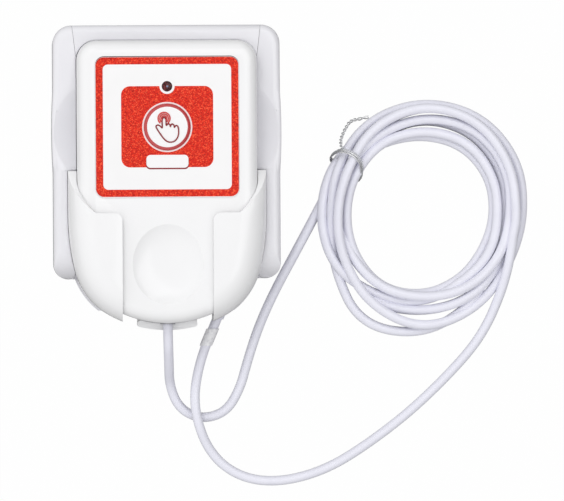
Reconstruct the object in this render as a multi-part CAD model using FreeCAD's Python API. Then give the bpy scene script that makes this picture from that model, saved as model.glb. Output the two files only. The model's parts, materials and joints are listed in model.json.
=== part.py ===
# Wired call button: a hand unit resting in a wall holster, with its cord coiled beside it
import FreeCAD, Part
import math
import os
from FreeCAD import Vector

# Lower end shared by the holster and the hand unit: three arcs a side, closing to a wide U
cup_half_width = 39.3
cup_start_y = -25.3
cup_side_r = 90.0
cup_side_turn = 14.0
cup_corner_r = 28.0
cup_corner_turn = 61.0

# Wall unit
wing_width = 5.65
unit_half_height = 50.4
unit_top_r = 7.5
unit_foot_r = 6.0
grip_bulge = 0.5
grip_bulge_half = 16.0
plate_thick = 2.4
box_height = 10.2
box_wall = 2.0
wing_height = 26.0
wing_edge_r = 3.0
wing_slope = 0.4
wing_gap = 0.15
wing_foot_long = 12.0
wing_foot_high = 13.0
wing_foot_in_r = 2.4
wing_wall = 2.0
seam_lean = 1.6
seam_foot_share = 0.75
seam_gap = 0.12
tongue_end_y = -63.0
tongue_margin = 0.8

# Finger recesses in the wings
grip_in = 21.4
grip_y = 8.0
grip_rim_r = 22.0
grip_rise = 20.0

# Holster
holster_wall = 2.2
holster_floor = 2.0
petal_gap = 0.4
petal_round_r = 11.0
petal_edge_y = -24.2
petal_corner_r = 3.0
horn_y = -7.4
horn_turn = 86.0
horn_fall = 0.85
slot_half_width = 18.0
lip_half_width = 11.9
lip_top = 19.5
lip_notch_y = -62.5
lip_corner_r = 1.2
base_step = 0.3

# Hand unit
hand_inset = 3.6
hand_drop = 0.8
hand_top_y = 44.2
hand_top_r = 8.0
hand_back_gap = 0.3
hand_thick = 24.0
hand_split = 11.0
hand_wall = 2.2
hand_front_r = 5.0
hand_back_r = 3.0
side_gap = 0.2

# Thumb dish
dish_y = -44.6
dish_half_x = 14.0
dish_half_y = 15.8
dish_depth = 2.4

# Label, button and light
label_y = 9.7
label_half_x = 28.6
label_half_y = 28.1
label_r = 3.8
label_recess = 0.8
film_thick = 0.25
film_gap = 0.25
button_y = 9.7
button_r = 9.1
button_face_r = 8.0
button_rise = 0.9
button_travel = 0.6
button_gap = 0.2
button_flange = 1.2
button_flange_out = 1.2
button_side = 0.6
button_face_thick = 1.6
stem_wall = 0.5
light_y = 25.8
light_r = 2.1
light_gap = 0.1

# Inside the hand unit
board_thick = 1.6
switch_size = 6.0
switch_height = 3.5
plunger_r = 1.7
plunger_rise = 0.9
hand_board_half_x = 24.0
hand_board_top_y = 34.0
hand_board_foot_y = -18.0
hand_screw_x = 27.0
hand_screw_top_y = 37.5
hand_screw_foot_y = -41.0
screw_r = 1.1
screw_head_r = 2.6
screw_head = 1.6
hand_screw_length = 16.0
clearance = 0.1

# Inside the wall unit
slot_spacing = 80.0
slot_mid_y = -6.0
slot_length = 10.0
slot_width = 4.2
unit_board_half_x = 26.0
unit_board_top_y = 24.0
unit_board_foot_y = -36.0
unit_board_lift = 0.4
cell_r = 12.25
cell_thick = 3.0
cell_y = 10.0
holder_wall = 1.2
radio_x = 16.0
radio_y = -22.0
antenna_r = 0.4
antenna_half = 14.0
antenna_y = -32.0
antenna_high = 3.0
unit_screw_x = 31.0
unit_screw_top_y = 38.0
unit_screw_foot_y = -38.0
unit_screw_length = 5.0

# Cord
cord_r = 1.9
cord_fit = 0.05
grommet_r = 3.0
grommet_flange_r = 4.4
gland_r = 2.45
gland_in = 2.4
gland_out = 3.6
sleeve_wall = 0.4
sleeve_top_y = -70.4
sleeve_foot_y = -77.2
floor_z = cord_r
coil_height = 11.0
coil_edge_r = 2.5

# Heights that follow from the sizes above
pocket_z = box_height + holster_floor
hand_z0 = pocket_z + hand_back_gap
hand_z1 = hand_z0 + hand_thick
split_z = hand_z0 + hand_split
label_z = hand_z1 - label_recess
front_under_z = hand_z1 - hand_wall
switch_z = front_under_z - 3.2
hand_board_z = switch_z - switch_height - board_thick
wing_in = cup_half_width + wing_gap
unit_half_width = wing_in + wing_width
grip_x = unit_half_width - grip_in
pocket_half = cup_half_width - hand_inset + side_gap
petal_under_z = hand_z1 + petal_gap
petal_top = petal_under_z + holster_wall
side_wall = hand_inset - side_gap
petal_inner_r = hand_front_r + side_gap
past = 2 * unit_half_height

# Cord routes, in order from each end
hand_route = [
    (0.0, -62.5, split_z),
    (0.0, -74.0, split_z),
    (0.2, -84.0, 14.6),
    (0.4, -93.0, 3.6),
    (4.3, -102.5, floor_z),
    (13.4, -106.9, floor_z),
    (23.2, -104.2, floor_z),
    (28.8, -95.0, floor_z),
    (31.8, -83.8, floor_z),
    (36.2, -70.4, floor_z),
    (42.5, -56.5, floor_z),
    (50.9, -41.2, floor_z),
    (60.0, -25.8, floor_z),
]
base_route = [
    (22.7, -60.4, 6.0),
    (18.7, -69.8, 6.0),
    (15.2, -78.0, 5.8),
    (12.7, -86.0, 5.8),
    (11.1, -94.5, 6.2),
    (11.1, -102.0, 6.9),
    (12.6, -110.0, 6.6),
    (15.8, -118.0, 3.4),
    (21.4, -125.2, floor_z),
    (29.8, -130.3, floor_z),
    (40.5, -132.2, floor_z),
    (53.0, -130.6, floor_z),
    (66.5, -125.6, floor_z),
    (81.0, -116.4, floor_z),
    (96.0, -105.0, floor_z),
    (110.0, -92.0, floor_z),
    (122.0, -79.0, floor_z),
    (129.6, -67.4, 2.4),
    (132.6, -59.4, 3.2),
]

# Coil: an oval ring, and the tie round its upper left
coil_x = 101.9
coil_y = -27.0
coil_half_x = 42.0
coil_half_y = 47.2
coil_hole_x = 101.2
coil_hole_y = -26.3
coil_hole_half_x = 27.4
coil_hole_half_y = 29.9
tie_turn = 143.0
tie_in = 29.6
tie_out = 43.0
tie_long = 3.4
tie_wire = 0.9
tie_tail = [(66.6, -0.4, 7.0), (68.2, 7.4, 4.5), (72.6, 13.0, 3.5), (78.2, 15.6, 3.0)]


def arc(a, middle, b):
    return Part.Arc(a, middle, b).toShape()


def polar(centre, radius, degrees, z=0.0):
    turn = math.radians(degrees)
    return Vector(centre.x + radius * math.cos(turn), centre.y - radius * math.sin(turn), z)


def line(a, b):
    return Part.LineSegment(a, b).toShape()


def mirrored(p):
    return Vector(-p.x, p.y, p.z)


def prism(edges, z0, z1):
    face = Part.Face(Part.Wire(Part.__sortEdges__(edges)))
    face.translate(Vector(0, 0, z0))
    return face.extrude(Vector(0, 0, z1 - z0))


def box(x0, x1, y0, y1, z0, z1):
    return Part.makeBox(x1 - x0, y1 - y0, z1 - z0, Vector(x0, y0, z0))


def rod(radius, x, y, z0, z1):
    return Part.makeCylinder(radius, z1 - z0, Vector(x, y, z0))


def rounded_plate(half_x, half_y, mid_y, radius, z0, z1):
    plate = box(-half_x, half_x, mid_y - half_y, mid_y + half_y, z0, z1)
    upright = [e for e in plate.Edges if abs(e.Vertexes[0].Z - e.Vertexes[1].Z) > 1e-6]
    return plate.makeFillet(radius, upright)


def edges_where(shape, test):
    return [e for e in shape.Edges if test(e.BoundBox)]


def cup_lower(inset, drop):
    """The right half's two arcs and the bottom arc, from the right side to the left."""
    side_r = cup_side_r - inset
    corner_r = cup_corner_r - inset
    c1 = Vector(cup_half_width - cup_side_r, cup_start_y - drop, 0)
    c2 = polar(c1, cup_side_r - cup_corner_r, cup_side_turn)
    gap = c2.x / math.cos(math.radians(cup_corner_turn))
    c3 = polar(c2, -gap, cup_corner_turn)
    bottom_r = corner_r + gap
    start = polar(c1, side_r, 0)
    middle1 = polar(c1, side_r, cup_side_turn / 2)
    joint1 = polar(c1, side_r, cup_side_turn)
    middle2 = polar(c2, corner_r, (cup_side_turn + cup_corner_turn) / 2)
    joint2 = polar(c2, corner_r, cup_corner_turn)
    bottom = polar(c3, bottom_r, 90)
    half = [(start, middle1, joint1), (joint1, middle2, joint2)]
    edges = [arc(*points) for points in half]
    edges += [arc(*[mirrored(p) for p in points]) for points in half]
    return edges + [arc(joint2, bottom, mirrored(joint2))]


def cup(inset, top_y, z0, z1, top_r=0.0, drop=0.0):
    """A prism with the shared lower end, open upwards to top_y."""
    side = cup_half_width - inset
    start_y = cup_start_y - drop
    edges = cup_lower(inset, drop)
    edges += [line(Vector(s * side, start_y, 0), Vector(s * side, top_y - top_r, 0)) for s in (-1, 1)]
    edges.append(line(Vector(top_r - side, top_y, 0), Vector(side - top_r, top_y, 0)))
    if top_r > 0:
        centre = Vector(side - top_r, top_y - top_r, 0)
        points = [polar(centre, top_r, -t) for t in (0, 45, 90)]
        edges += [arc(*points), arc(*[mirrored(p) for p in points])]
    return prism(edges, z0, z1)


def unit_outline(margin, z0, z1):
    """The wall unit's outer outline, with its small swelling beside the finger recesses."""
    w = unit_half_width - margin
    h = unit_half_height - margin
    top_r = unit_top_r - margin
    foot_r = unit_foot_r - margin
    top = Vector(w - top_r, h - top_r, 0)
    foot = Vector(w - foot_r, foot_r - h, 0)
    high = Vector(w, grip_y + grip_bulge_half, 0)
    low = Vector(w, grip_y - grip_bulge_half, 0)
    right = [
        [polar(top, top_r, t) for t in (-90, -45, 0)],
        [high, Vector(w + grip_bulge, grip_y, 0), low],
        [polar(foot, foot_r, t) for t in (0, 45, 90)],
    ]
    straight = [(right[0][2], high), (low, right[2][0])]
    edges = [arc(*points) for points in right]
    edges += [arc(*[mirrored(p) for p in points]) for points in right]
    edges += [line(a, b) for a, b in straight]
    edges += [line(mirrored(a), mirrored(b)) for a, b in straight]
    edges += [line(p, mirrored(p)) for p in (right[0][0], right[2][2])]
    return prism(edges, z0, z1)


def grip_hollow(extra):
    """The ball that scoops a finger recess out of each wing; extra thickens it for the inner wall."""
    radius = math.hypot(grip_rim_r, grip_rise) + extra
    high = wing_height + grip_rise
    balls = [Part.makeSphere(radius, Vector(s * grip_x, grip_y, high)) for s in (-1, 1)]
    return balls[0].fuse(balls[1])


def hand_pocket(z0, z1):
    """The space for the hand unit above the horns, a side gap larger than its outline."""
    space = cup(hand_inset - side_gap, hand_top_y + side_gap, z0, z1, hand_top_r + side_gap)
    return space.common(box(-past, past, horn_y, past, z0, z1))


def under_wings(z1):
    """What the wings leave free below: the electronics box's width above, the holster's below."""
    upper = box(-pocket_half, pocket_half, horn_y, past, 0, box_height)
    lower = cup(cup_half_width - wing_in, horn_y + wing_gap, 0, z1)
    return upper.fuse(lower)


def top_bar_space(z0, z1, grow=0.0):
    """The wedge between the two seams of the top bar."""
    seam_foot = hand_top_y - seam_foot_share * hand_top_r
    corners = [
        Vector(pocket_half + grow, seam_foot - grow, 0),
        Vector(pocket_half + seam_lean + grow, unit_half_height + 1, 0),
    ]
    ring = corners + [mirrored(p) for p in reversed(corners)]
    edges = [line(a, b) for a, b in zip(ring, ring[1:] + ring[:1])]
    return prism(edges, z0, z1)


def rounded_unit():
    """The whole upper moulding before it is parted, with its outer top edge rounded."""
    block = unit_outline(0.0, plate_thick, wing_height)
    rim = edges_where(block, lambda b: b.ZMin > wing_height - 0.01)
    return block.makeFillet(wing_edge_r, rim)


def framed_unit():
    """The upper moulding round the hand unit's pocket, with the pocket's rim sloped inwards."""
    solid = rounded_unit().cut(hand_pocket(box_height, wing_height + 1))
    side = pocket_half + 0.01
    rim = edges_where(
        solid,
        lambda b: b.ZMin > wing_height - 0.01
        and b.XMax < side
        and b.XMin > -side
        and b.YMin > horn_y - 0.01
        and b.YMax < hand_top_y + side_gap + 0.01,
    )
    rim = [e for e in rim if e.BoundBox.YMax > horn_y + 0.01]
    return solid.makeChamfer(wing_slope, rim)


def foot_cutter(inset=0.0):
    """What is taken off the wings' lower ends, so that their tops run down in a long curve."""
    y = wing_foot_long - unit_half_height
    low = wing_height - wing_foot_high
    along = wing_foot_long - inset
    upward = wing_foot_high - inset
    ellipse = Part.Ellipse(Vector(0, 0, 0), max(along, upward), min(along, upward)).toShape()
    if upward > along:
        ellipse.rotate(Vector(0, 0, 0), Vector(0, 0, 1), 90)
    ellipse.rotate(Vector(0, 0, 0), Vector(0, 1, 0), -90)
    ellipse.rotate(Vector(0, 0, 0), Vector(1, 0, 0), 90)
    ellipse.translate(Vector(0, y, low))
    rounding = Part.Face(Part.Wire(ellipse)).extrude(Vector(past, 0, 0))
    return box(0, past, -past, y, low, wing_height + 1).cut(rounding)


def screw_places(x, top_y, foot_y):
    return [(s * x, y) for s in (-1, 1) for y in (top_y, foot_y)]


def unit_screws_at():
    return screw_places(unit_screw_x, unit_screw_top_y, unit_screw_foot_y)


def hand_screws_at():
    return screw_places(hand_screw_x, hand_screw_top_y, hand_screw_foot_y)


def screws(places, head_z, length):
    """Pan-head screws driven from the back: heads down, shanks up."""
    made = []
    for x, y in places:
        head = rod(screw_head_r, x, y, head_z, head_z + screw_head)
        made.append(head.fuse(rod(screw_r, x, y, head_z + screw_head, head_z + screw_head + length)))
    return Part.makeCompound(made)


def wall_plate():
    plate = unit_outline(0.0, 0.0, plate_thick)
    tongue = cup(-tongue_margin, horn_y, 0.0, plate_thick)
    plate = plate.fuse(tongue).cut(box(-past, past, -past, tongue_end_y, -1, plate_thick + 1))
    half = slot_spacing / 2
    for y in (slot_mid_y - half, slot_mid_y + half):
        reach = (slot_length - slot_width) / 2
        ends = [rod(slot_width / 2, 0, y + s * reach, -1, plate_thick + 1) for s in (-1, 1)]
        middle = box(-slot_width / 2, slot_width / 2, y - reach, y + reach, -1, plate_thick + 1)
        plate = plate.cut(middle.fuse(ends))
    for x, y in board_posts():
        plate = plate.fuse(rod(box_wall, x, y, plate_thick, unit_board_z()))
    for x, y in unit_screws_at():
        plate = plate.cut(rod(screw_head_r + clearance, x, y, -1, clearance + screw_head + clearance))
        plate = plate.cut(rod(screw_r + clearance, x, y, 0, plate_thick + 1))
    return plate.removeSplitter()


def base_housing():
    """The shallow electronics box with the top bar standing on it."""
    box_part = box(-pocket_half, pocket_half, horn_y, unit_half_height, plate_thick, box_height)
    lower = cup(0.0, horn_y, plate_thick, box_height)
    step = cup(-base_step, horn_y, plate_thick, box_height)
    step = step.cut(box(-past, past, -unit_half_height - base_step, past, 0, box_height + 1))
    lower = lower.fuse(step).cut(box(-past, past, -past, tongue_end_y, 0, box_height + 1))
    bar = framed_unit().common(top_bar_space(plate_thick, wing_height + 1))
    bar_face = hand_top_y + side_gap
    housing = box_part.common(rounded_unit()).fuse(lower).fuse(bar)
    inner_z = box_height - box_wall
    side = pocket_half - box_wall
    hollow = box(-side, side, horn_y - 1, bar_face - box_wall, plate_thick - 1, inner_z)
    low = cup(box_wall, horn_y, plate_thick - 1, inner_z)
    low = low.cut(box(-past, past, -past, tongue_end_y + box_wall, 0, inner_z + 1))
    housing = housing.cut(hollow.fuse(low))
    for x, y in unit_screws_at():
        post = rod(screw_r + box_wall, x, y, plate_thick, inner_z)
        housing = housing.fuse(post).cut(rod(screw_r, x, y, plate_thick - 1, inner_z - 0.8))
    for x, y in board_posts():
        housing = housing.fuse(rod(box_wall, x, y, unit_board_z() + board_thick, inner_z))
    return housing.cut(gland_bore(gland_r + cord_fit)).removeSplitter()


def unit_board_z():
    return plate_thick + unit_board_lift


def board_posts():
    x = unit_board_half_x - 3.0
    return screw_places(x, unit_board_top_y - 3.0, unit_board_foot_y + 3.0)


def wing(side):
    """One side moulding: hollow behind, rounded outside, sloped towards the hand unit."""
    solid = framed_unit().cut(under_wings(wing_height + 1))
    inner_foot = edges_where(
        solid,
        lambda b: b.YMax < 0.01 - unit_half_height
        and b.XMax - b.XMin < 0.01
        and b.ZMax - b.ZMin > wing_height / 2
        and abs(b.XMin) < cup_half_width,
    )
    solid = solid.makeFillet(wing_foot_in_r, inner_foot)
    solid = solid.cut(top_bar_space(0, wing_height + 1, seam_gap))
    solid = solid.cut(foot_cutter())
    solid = solid.common(box(0, past, -past, past, 0, wing_height + 1))
    solid = solid.cut(grip_hollow(0.0))
    top = wing_height - wing_wall
    out = unit_half_width - wing_wall
    upper = box(pocket_half + wing_wall, out, horn_y + wing_wall, hand_top_y - wing_wall, 0, top)
    lower = box(wing_in + wing_wall, out, wing_wall + wing_edge_r - unit_half_height, horn_y + 3, 0, top)
    hollow = upper.fuse(lower).cut(grip_hollow(wing_wall)).cut(foot_cutter(wing_wall))
    solid = solid.cut(hollow).removeSplitter()
    return solid if side > 0 else solid.mirror(Vector(0, 0, 0), Vector(1, 0, 0))


def horn_cutter():
    """What is taken off above each horn: its cut face turns from level at the tip to upright."""
    axis_x = cup_half_width - petal_round_r
    axis_z = petal_top - petal_round_r
    steps = 12
    outer = []
    inner = []
    for i in range(steps + 1):
        share = i / steps
        turn = math.radians(horn_turn * (1 - share) ** horn_fall)
        y = horn_y + (petal_edge_y - horn_y) * share
        on_wall = Vector(math.sin(turn), 0, math.cos(turn)) * petal_round_r + Vector(axis_x, y, axis_z)
        tilt = math.pi / 2 * share**2
        across = Vector(math.cos(tilt), 0, math.sin(tilt))
        outer.append(on_wall + across * 2.0)
        inner.append(on_wall - across * (side_wall + 1.0 - 1.5 * share))
    curves = []
    for points in (inner, outer):
        curve = Part.BSplineCurve()
        curve.interpolate(points)
        curves.append(curve.toShape())
    return Part.makeRuledSurface(*curves).extrude(Vector(0, 30, 0))


def petal_window():
    """The opening above the petals, the slot between them and the wedges above the horns."""
    axis_x = cup_half_width - petal_round_r
    opening = box(-axis_x, axis_x, petal_edge_y, past, pocket_z, petal_top + 5)
    slot = box(-slot_half_width, slot_half_width, -past, past, lip_top, petal_top + 5)
    window = opening.fuse(slot)
    for side in (-1, 1):
        edge_x = side * slot_half_width
        round_x = side * (slot_half_width + petal_corner_r)
        low_y = petal_edge_y - petal_corner_r
        xs = sorted((edge_x, round_x))
        corner = box(xs[0], xs[1], low_y, petal_edge_y, lip_top, petal_top + 5)
        window = window.fuse(corner.cut(rod(petal_corner_r, round_x, low_y, 0, petal_top + 6)))
    right = horn_cutter()
    left = right.mirror(Vector(0, 0, 0), Vector(1, 0, 0))
    above = box(-past, past, horn_y, past, 0, petal_top + 5)
    return [window, right, left, above]


def holster():
    """Floor, rounded side walls and the two petals that hold the hand unit, as one moulding."""
    top_y = 5.0
    outer = cup(0.0, top_y, box_height, petal_top)
    rim = edges_where(outer, lambda b: b.ZMin > petal_top - 0.01 and b.YMin < top_y - 0.01)
    outer = outer.makeFillet(petal_round_r, rim)
    inner = cup(side_wall, top_y + 1, pocket_z, petal_under_z, 0.0, hand_drop)
    rim = edges_where(
        inner, lambda b: b.ZMin > petal_under_z - 0.01 and b.YMin < top_y + 0.99
    )
    inner = inner.makeFillet(petal_inner_r, rim)
    shell = outer.cut(inner)
    for cutter in petal_window():
        shell = shell.cut(cutter)
    shell = shell.fuse(hand_pocket(box_height, pocket_z))
    for s in (-1, 1):
        xs = sorted((s * lip_half_width, s * slot_half_width))
        shell = shell.cut(box(xs[0], xs[1], -past, lip_notch_y, 0, petal_top + 5))
    corners = edges_where(
        shell,
        lambda b: b.XMax - b.XMin < 0.01
        and b.YMax - b.YMin < 0.01
        and b.ZMax - b.ZMin > 2
        and abs(abs(b.XMin) - lip_half_width) < 0.01
        and b.YMin < lip_notch_y - 2,
    )
    return shell.makeFillet(lip_corner_r, corners).removeSplitter()


def unit_board():
    z = unit_board_z()
    half = unit_board_half_x
    return box(-half, half, unit_board_foot_y, unit_board_top_y, z, z + board_thick)


def radio_module():
    z = unit_board_z() + board_thick
    can = box(radio_x - 7, radio_x + 5, radio_y - 8, radio_y + 6, z, z + 2.2)
    upright = edges_where(can, lambda b: b.ZMax - b.ZMin > 1)
    return can.makeFillet(0.6, upright)


def cell_seat_z():
    return unit_board_z() + board_thick


def cell_holder():
    z = cell_seat_z()
    ring = rod(cell_r + holder_wall, 0, cell_y, z, z + 0.6 + cell_thick * 0.6)
    ring = ring.cut(rod(cell_r + clearance, 0, cell_y, z + 0.6, z + 10))
    return ring.cut(box(-cell_r * 0.4, cell_r * 0.4, cell_y, cell_y + 30, z + 0.6, z + 10))


def coin_cell():
    z = cell_seat_z() + 0.6
    lower = rod(cell_r - 1.2, 0, cell_y, z, z + 0.5)
    return lower.fuse(rod(cell_r, 0, cell_y, z + 0.5, z + cell_thick))


def antenna():
    """A bent wire loop standing on the board."""
    z = cell_seat_z()
    r = 2.0
    top = z + antenna_high
    right = [
        Vector(antenna_half, antenna_y, z),
        Vector(antenna_half, antenna_y, top - r),
        Vector(antenna_half - r + r * math.sqrt(0.5), antenna_y, top - r + r * math.sqrt(0.5)),
        Vector(antenna_half - r, antenna_y, top),
    ]
    edges = [line(right[0], right[1]), arc(right[1], right[2], right[3])]
    edges += [line(mirrored(right[0]), mirrored(right[1])), arc(*[mirrored(p) for p in right[1:]])]
    edges.append(line(right[3], mirrored(right[3])))
    path = Part.Wire(Part.__sortEdges__(edges))
    start = path.OrderedVertexes[0].Point
    section = Part.Wire(Part.makeCircle(antenna_r, start, Vector(0, 0, 1)))
    return path.makePipeShell([section], True, False, 1)


def hand_outline(inset, z0, z1):
    return cup(hand_inset + inset, hand_top_y - inset, z0, z1, hand_top_r - inset, hand_drop)


def cord_exit_y():
    """Where the hand unit's lower end crosses its middle line."""
    return hand_outline(0.0, 0, 1).BoundBox.YMin


def exit_bore(radius):
    y = cord_exit_y()
    return Part.makeCylinder(radius, hand_wall * 2 + 2, Vector(0, y - 1, split_z), Vector(0, 1, 0))


def handset_front():
    shell = hand_outline(0.0, split_z, hand_z1)
    rim = edges_where(shell, lambda b: b.ZMin > hand_z1 - 0.01)
    shell = shell.makeFillet(hand_front_r, rim)
    hollow = hand_outline(hand_wall, split_z - 1, front_under_z)
    rim = edges_where(hollow, lambda b: b.ZMin > front_under_z - 0.01)
    hollow = hollow.makeFillet(hand_front_r - hand_wall, rim)
    under_dish = rod(dish_half_y + hand_wall, 0, dish_y, front_under_z - dish_depth, hand_z1)
    shell = shell.cut(hollow.cut(under_dish))
    shell = shell.cut(
        rounded_plate(label_half_x, label_half_y, label_y, label_r, label_z, hand_z1 + 1)
    )
    shell = shell.cut(thumb_dish())
    shell = shell.cut(rod(button_r + button_gap, 0, button_y, split_z, hand_z1))
    shell = shell.cut(rod(light_r + light_gap, 0, light_y, split_z, hand_z1))
    for x, y in hand_screws_at():
        post = rod(screw_r + box_wall, x, y, split_z, front_under_z)
        shell = shell.fuse(post.cut(rod(screw_r, x, y, split_z - 1, front_under_z - 2)))
    return shell.cut(exit_bore(grommet_r + cord_fit)).removeSplitter()


def thumb_dish():
    """A shallow oval hollow: a ball, stretched along the hand unit."""
    ball_r = (dish_half_x**2 + dish_depth**2) / (2 * dish_depth)
    ball = Part.makeSphere(ball_r, Vector(0, 0, ball_r - dish_depth))
    stretch = FreeCAD.Matrix()
    stretch.scale(1.0, dish_half_y / dish_half_x, 1.0)
    dish = ball.transformGeometry(stretch)
    dish.translate(Vector(0, dish_y, hand_z1))
    return dish


def handset_rear():
    shell = hand_outline(0.0, hand_z0, split_z)
    rim = edges_where(shell, lambda b: b.ZMax < hand_z0 + 0.01)
    shell = shell.makeFillet(hand_back_r, rim)
    floor = hand_z0 + hand_wall
    shell = shell.cut(hand_outline(hand_wall, floor, split_z + 1))
    for x, y in hand_screws_at():
        shell = shell.fuse(rod(screw_head_r + clearance + 1.2, x, y, floor, split_z))
        shell = shell.cut(rod(screw_head_r + clearance, x, y, hand_z0 - 1, floor + screw_head))
        shell = shell.cut(rod(screw_r + clearance, x, y, hand_z0, split_z + 1))
    x = hand_board_half_x - 3.0
    for px, py in screw_places(x, hand_board_top_y - 3.0, hand_board_foot_y + 3.0):
        shell = shell.fuse(rod(box_wall, px, py, floor, hand_board_z))
    return shell.cut(exit_bore(grommet_r + cord_fit)).removeSplitter()


def label_film():
    half_x = label_half_x - film_gap
    half_y = label_half_y - film_gap
    top = label_z + film_thick
    film = rounded_plate(half_x, half_y, label_y, label_r - film_gap, label_z, top)
    film = film.cut(rod(button_r + button_gap, 0, button_y, label_z - 1, hand_z1 + 1))
    return film.cut(rod(light_r + light_gap, 0, light_y, label_z - 1, hand_z1 + 1))


def button_top_z():
    return hand_z1 + button_rise


def call_button():
    """The cap: a low cone with a flat face, a flange under the front wall and a stem below."""
    flange_top = front_under_z - clearance
    flange_low = flange_top - button_flange
    top = button_top_z()
    shoulder = label_z + film_thick + clearance
    cone = Part.makeCone(button_r, button_face_r, top - shoulder, Vector(0, button_y, shoulder))
    cap = cone.fuse(rod(button_r, 0, button_y, flange_low, shoulder))
    cap = cap.fuse(rod(button_r + button_flange_out, 0, button_y, flange_low, flange_top))
    inside = button_face_r - button_side
    cap = cap.cut(rod(inside, 0, button_y, flange_low - button_flange, top - button_face_thick))
    stem_top = top - button_face_thick / 2
    stem = rod(plunger_r + stem_wall, 0, button_y, switch_z + plunger_rise, stem_top)
    return cap.fuse(stem).removeSplitter()


def switch_body():
    half = switch_size / 2
    z = hand_board_z + board_thick
    body = box(-half, half, button_y - half, button_y + half, z, switch_z)
    upright = edges_where(body, lambda b: b.ZMax - b.ZMin > 1)
    body = body.makeFillet(0.5, upright)
    well = rod(plunger_r + clearance, 0, button_y, switch_z - button_travel - 1.0, switch_z + 1)
    return body.cut(well)


def switch_plunger():
    return rod(plunger_r, 0, button_y, switch_z - 0.8, switch_z + plunger_rise)


def handset_board():
    z = hand_board_z
    board = box(
        -hand_board_half_x, hand_board_half_x, hand_board_foot_y, hand_board_top_y, z, z + board_thick
    )
    upright = edges_where(board, lambda b: b.ZMax - b.ZMin > 1)
    return board.makeFillet(2.0, upright)


def status_led():
    z = hand_board_z + board_thick
    lens_z = z + 2.4
    led = rod(1.5, 0, light_y, z, lens_z).fuse(rod(1.8, 0, light_y, z, z + 0.8))
    return led.fuse(Part.makeSphere(1.5, Vector(0, light_y, lens_z)))


def light_pipe():
    """The clear rod that brings the light to the label."""
    low = hand_board_z + board_thick + 2.4 + 1.5 + clearance
    pipe = rod(light_r, 0, light_y, low, label_z + film_thick)
    return pipe.fuse(rod(light_r + 1.0, 0, light_y, front_under_z - 1.0, front_under_z))


def cord_grommet():
    """The bush in the lower wall, with its flange inside and the cord's bore through it."""
    y = cord_exit_y()
    along = Vector(0, 1, 0)
    inside = y + hand_wall + 0.3
    bush = Part.makeCylinder(grommet_r, inside - y + 0.8, Vector(0, y - 0.4, split_z), along)
    flange = Part.makeCylinder(grommet_flange_r, 1.4, Vector(0, inside, split_z), along)
    bore = Part.makeCylinder(cord_r + cord_fit, 12, Vector(0, y - 2, split_z), along)
    return bush.fuse(flange).cut(bore)


def gland_line():
    """The base cord's direction where it leaves the wall unit."""
    a = Vector(*base_route[0])
    b = Vector(*base_route[1])
    return a, (b - a).normalize()


def gland_bore(radius):
    a, along = gland_line()
    return Part.makeCylinder(radius, gland_in + gland_out + 4, a - along * 4, along)


def cord_gland():
    """The bush that holds the base cord in the wall unit's lower wall."""
    a, along = gland_line()
    bush = Part.makeCylinder(gland_r, gland_in + gland_out, a, along)
    return bush.cut(gland_bore(cord_r + cord_fit))


def cord_sleeve():
    """The clear sleeve on the base cord just below the holster."""
    path = cord_path(base_route)[0]
    outer = pipe(path, base_route, cord_r + cord_fit + sleeve_wall)
    inner = pipe(path, base_route, cord_r + cord_fit)
    window = box(0, 40, sleeve_foot_y, sleeve_top_y, 0, 20)
    return outer.common(window).cut(inner)


def cord_path(route):
    """Straight runs joined by tangent arcs, as large as the runs allow, and the arcs' radii."""
    points = [Vector(*p) for p in route]
    edges = []
    start = points[0]
    radii = []
    for before, corner, after in zip(points, points[1:], points[2:]):
        a = (before - corner).normalize()
        b = (after - corner).normalize()
        half_turn = (math.pi - a.getAngle(b)) / 2
        back = 0.45 * min((before - corner).Length, (after - corner).Length)
        radius = back / math.tan(half_turn)
        radii.append(radius)
        inward = (a + b).normalize()
        centre = corner + inward * (radius / math.cos(half_turn))
        p = corner + a * back
        q = corner + b * back
        edges += [line(start, p), arc(p, centre - inward * radius, q)]
        start = q
    edges.append(line(start, points[-1]))
    return Part.Wire(edges), radii


def pipe(path, route, radius):
    start = Vector(*route[0])
    section = Part.Wire(Part.makeCircle(radius, start, Vector(*route[1]) - start))
    return path.makePipeShell([section], True, False, 1)


def cord_tube(name, route):
    path, radii = cord_path(route)
    tube = pipe(path, route, cord_r)
    expected = path.Length * math.pi * cord_r**2
    print(name, "radii", [round(r, 1) for r in radii], "length", round(path.Length, 1))
    print(name, "volume share", round(tube.Volume / expected, 4))
    return tube


def oval(x, y, half_x, half_y, z0, z1):
    """An upright oval cylinder."""
    long_way = half_y > half_x
    major, minor = (half_y, half_x) if long_way else (half_x, half_y)
    ellipse = Part.Ellipse(Vector(0, 0, 0), major, minor).toShape()
    if long_way:
        ellipse.rotate(Vector(0, 0, 0), Vector(0, 0, 1), 90)
    ellipse.translate(Vector(x, y, z0))
    return Part.Face(Part.Wire(ellipse)).extrude(Vector(0, 0, z1 - z0))


def tie_block(inside, outside, half_long, z0, z1):
    """A block across the coil where the tie holds it."""
    block = box(inside, outside, -half_long, half_long, z0, z1)
    block.rotate(Vector(0, 0, 0), Vector(0, 0, 1), tie_turn)
    block.translate(Vector(coil_x, coil_y, 0))
    return block


def cord_coil():
    ring = oval(coil_x, coil_y, coil_half_x, coil_half_y, 0, coil_height)
    ring = ring.makeFillet(coil_edge_r, edges_where(ring, lambda b: b.ZMax - b.ZMin < 0.01))
    hole = oval(coil_hole_x, coil_hole_y, coil_hole_half_x, coil_hole_half_y, -1, coil_height + 1)
    ring = ring.cut(hole)
    groove = tie_block(10, 60, tie_long / 2 + clearance, -1, coil_height + 1)
    waist = tie_wire + clearance
    core = tie_block(tie_in, tie_out, tie_long, waist, coil_height - waist)
    return ring.cut(groove.cut(core))


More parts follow.
